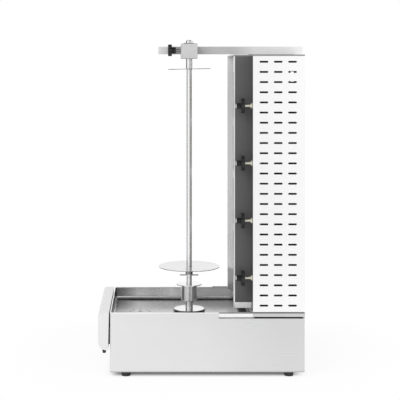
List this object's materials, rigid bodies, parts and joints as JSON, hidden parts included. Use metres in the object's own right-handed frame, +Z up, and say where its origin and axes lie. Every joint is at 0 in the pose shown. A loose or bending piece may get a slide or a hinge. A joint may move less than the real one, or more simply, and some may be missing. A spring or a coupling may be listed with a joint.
{
  "type": "doner kebab grill",
  "caption": "Counter-top vertical gas doner grill: tray base with a fat drawer, a driven spit held by a top arm, and a sliding tower of infrared burners with tap knobs.",
  "frame": {"origin": "on the floor plane under the middle of the overall box", "axes": "+Z up, the drawer pulls out along -Y, the burner tower stands at +Y, the gas taps are on +X"},
  "size_m": [0.42, 0.667, 1.053],
  "materials": {
    "steel_satin": "fine satin brushed stainless sheet",
    "steel_bright": "bright stainless sheet",
    "steel_polished": "polished stainless",
    "dark_steel": "dark grey heat-proof finish, satin",
    "aluminised_steel": "dull aluminised sheet",
    "guard_wire": "heat-stained stainless grille",
    "tile_ceramic": "unglazed porous ceramic, pale buff",
    "cast_aluminium": "machined aluminium, matt",
    "motor_paint": "black paint",
    "zinc": "zinc plated steel",
    "brass": "machined brass",
    "bronze": "sintered bronze",
    "rubber": "black rubber",
    "black_plastic": "black phenolic plastic",
    "red_plastic": "red translucent-looking rocker, gloss",
    "black_screw": "black oxide steel"
  },
  "bodies": {
    "base": {"base_shell": "steel_satin", "drip_well": "steel_polished", "base_bottom": "steel_satin", "rubber_feet": "rubber", "foot_screws": "zinc", "slide_rails": "steel_satin", "drawer_runners": "zinc", "bearing_flange": "steel_polished", "shaft_bush": "bronze", "gearbox": "cast_aluminium", "gear_motor": "motor_paint", "motor_bracket": "zinc", "switch_body": "black_plastic", "cable_gland": "black_plastic"},
    "switch": {"switch_rocker": "red_plastic"},
    "drawer": {"drawer_front": "steel_satin", "drawer_pan": "steel_satin", "drawer_bumpers": "rubber"},
    "spit": {"drive_shaft": "steel_polished", "spit_socket": "steel_polished", "socket_plate": "steel_polished", "spit_rod": "steel_polished", "cross_pin": "steel_polished", "top_journal": "steel_polished"},
    "lower_disc": {"meat_disc": "steel_satin"},
    "upper_disc": {"top_disc": "steel_satin"},
    "tower": {"tower_carriage": "steel_satin", "carriage_bolts": "zinc", "vent_panel_right": "steel_bright", "vent_panel_left": "steel_bright", "rear_cover": "steel_bright", "top_cover": "steel_satin", "side_panels": "dark_steel", "reflector_frame": "steel_bright", "burner_sill": "steel_bright", "burner_1": "aluminised_steel", "burner_2": "aluminised_steel", "burner_3": "aluminised_steel", "burner_4": "aluminised_steel", "burner_tiles": "tile_ceramic", "burner_guards": "guard_wire", "gas_manifold": "zinc", "gas_inlet": "brass", "gas_taps": "brass", "arm": "steel_satin", "arm_end_caps": "steel_satin", "arm_screws": "zinc"},
    "top_block": {"clamp_block": "cast_aluminium", "spit_bush": "bronze", "arm_set_screw": "black_screw"},
    "lock": {"lock_knob": "black_plastic", "lock_stud": "steel_polished"},
    "tap_1": {"tap_stem_1": "brass"},
    "knob_1": {"gas_knob_1": "black_plastic"},
    "tap_2": {"tap_stem_2": "brass"},
    "knob_2": {"gas_knob_2": "black_plastic"},
    "tap_3": {"tap_stem_3": "brass"},
    "knob_3": {"gas_knob_3": "black_plastic"},
    "tap_4": {"tap_stem_4": "brass"},
    "knob_4": {"gas_knob_4": "black_plastic"}
  },
  "joints": [
    {"name": "drawer_slide", "type": "slide", "parent": "base", "child": "drawer", "axis": [0, -1, 0], "range_m": [0, 0.165]},
    {"name": "switch_rock", "type": "hinge", "parent": "base", "child": "switch", "pos_m": [-0.206, -0.209, 0.07], "axis": [0, 0, -1], "range_deg": [0, 10]},
    {"name": "spit_turn", "type": "hinge", "parent": "base", "child": "spit", "pos_m": [0, -0.044, 0.2], "axis": [0, 0, 1], "continuous": true},
    {"name": "meat_disc_lift", "type": "slide", "parent": "spit", "child": "lower_disc", "axis": [0, 0, 1], "range_m": [0, 0.3]},
    {"name": "top_disc_drop", "type": "slide", "parent": "spit", "child": "upper_disc", "axis": [0, 0, -1], "range_m": [0, 0.3]},
    {"name": "tower_slide", "type": "slide", "parent": "base", "child": "tower", "axis": [0, -1, 0], "range_m": [0, 0.04]},
    {"name": "block_slide", "type": "slide", "parent": "tower", "child": "top_block", "axis": [0, 1, 0], "range_m": [0, 0.04]},
    {"name": "lock_turn", "type": "hinge", "parent": "top_block", "child": "lock", "pos_m": [0, -0.088, 1.0192], "axis": [0, 1, 0], "range_deg": [0, 720]},
    {"name": "tap_1_push", "type": "slide", "parent": "tower", "child": "tap_1", "axis": [0, 1, 0], "range_m": [0, 0.005], "stiffness_N_per_m": 900},
    {"name": "tap_1_turn", "type": "hinge", "parent": "tap_1", "child": "knob_1", "pos_m": [0.18, 0.112, 0.302], "axis": [0, 1, 0], "range_deg": [0, 210]},
    {"name": "tap_2_push", "type": "slide", "parent": "tower", "child": "tap_2", "axis": [0, 1, 0], "range_m": [0, 0.005], "stiffness_N_per_m": 900},
    {"name": "tap_2_turn", "type": "hinge", "parent": "tap_2", "child": "knob_2", "pos_m": [0.18, 0.112, 0.482], "axis": [0, 1, 0], "range_deg": [0, 210]},
    {"name": "tap_3_push", "type": "slide", "parent": "tower", "child": "tap_3", "axis": [0, 1, 0], "range_m": [0, 0.005], "stiffness_N_per_m": 900},
    {"name": "tap_3_turn", "type": "hinge", "parent": "tap_3", "child": "knob_3", "pos_m": [0.18, 0.112, 0.662], "axis": [0, 1, 0], "range_deg": [0, 210]},
    {"name": "tap_4_push", "type": "slide", "parent": "tower", "child": "tap_4", "axis": [0, 1, 0], "range_m": [0, 0.005], "stiffness_N_per_m": 900},
    {"name": "tap_4_turn", "type": "hinge", "parent": "tap_4", "child": "knob_4", "pos_m": [0.18, 0.112, 0.842], "axis": [0, 1, 0], "range_deg": [0, 210]}
  ],
  "couplings": [
    {"joint": "block_slide", "follows": "tower_slide", "ratio": 1}
  ]
}
